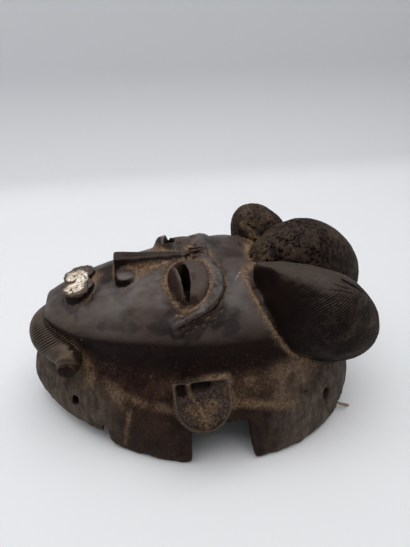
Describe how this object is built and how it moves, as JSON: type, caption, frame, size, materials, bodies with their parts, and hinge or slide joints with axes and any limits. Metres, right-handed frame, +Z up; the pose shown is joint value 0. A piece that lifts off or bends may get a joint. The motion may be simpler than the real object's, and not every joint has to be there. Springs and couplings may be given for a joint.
{
  "type": "carved face mask",
  "caption": "Hollow carved wooden face mask with lobed hair, slit coffee-bean eyes, long nose, metal-covered lips and a beard band, lying face up on its rim.",
  "frame": {"origin": "centre of the bounding box in plan, on the plane the rim stands on", "axes": "+X from the chin to the crown, +Y toward the far side of the face, +Z up out of the face"},
  "size_m": [0.254, 0.179, 0.1335],
  "materials": {
    "wood": "dark worn patina with tan dirt in the recesses",
    "tin": "crumpled thin sheet, bright with cream stains",
    "fibre": "dry frayed plant fibre"
  },
  "bodies": {
    "root": {"mask": "wood", "lip_sheet": "tin", "fibre_tuft": "fibre"}
  },
  "joints": []
}
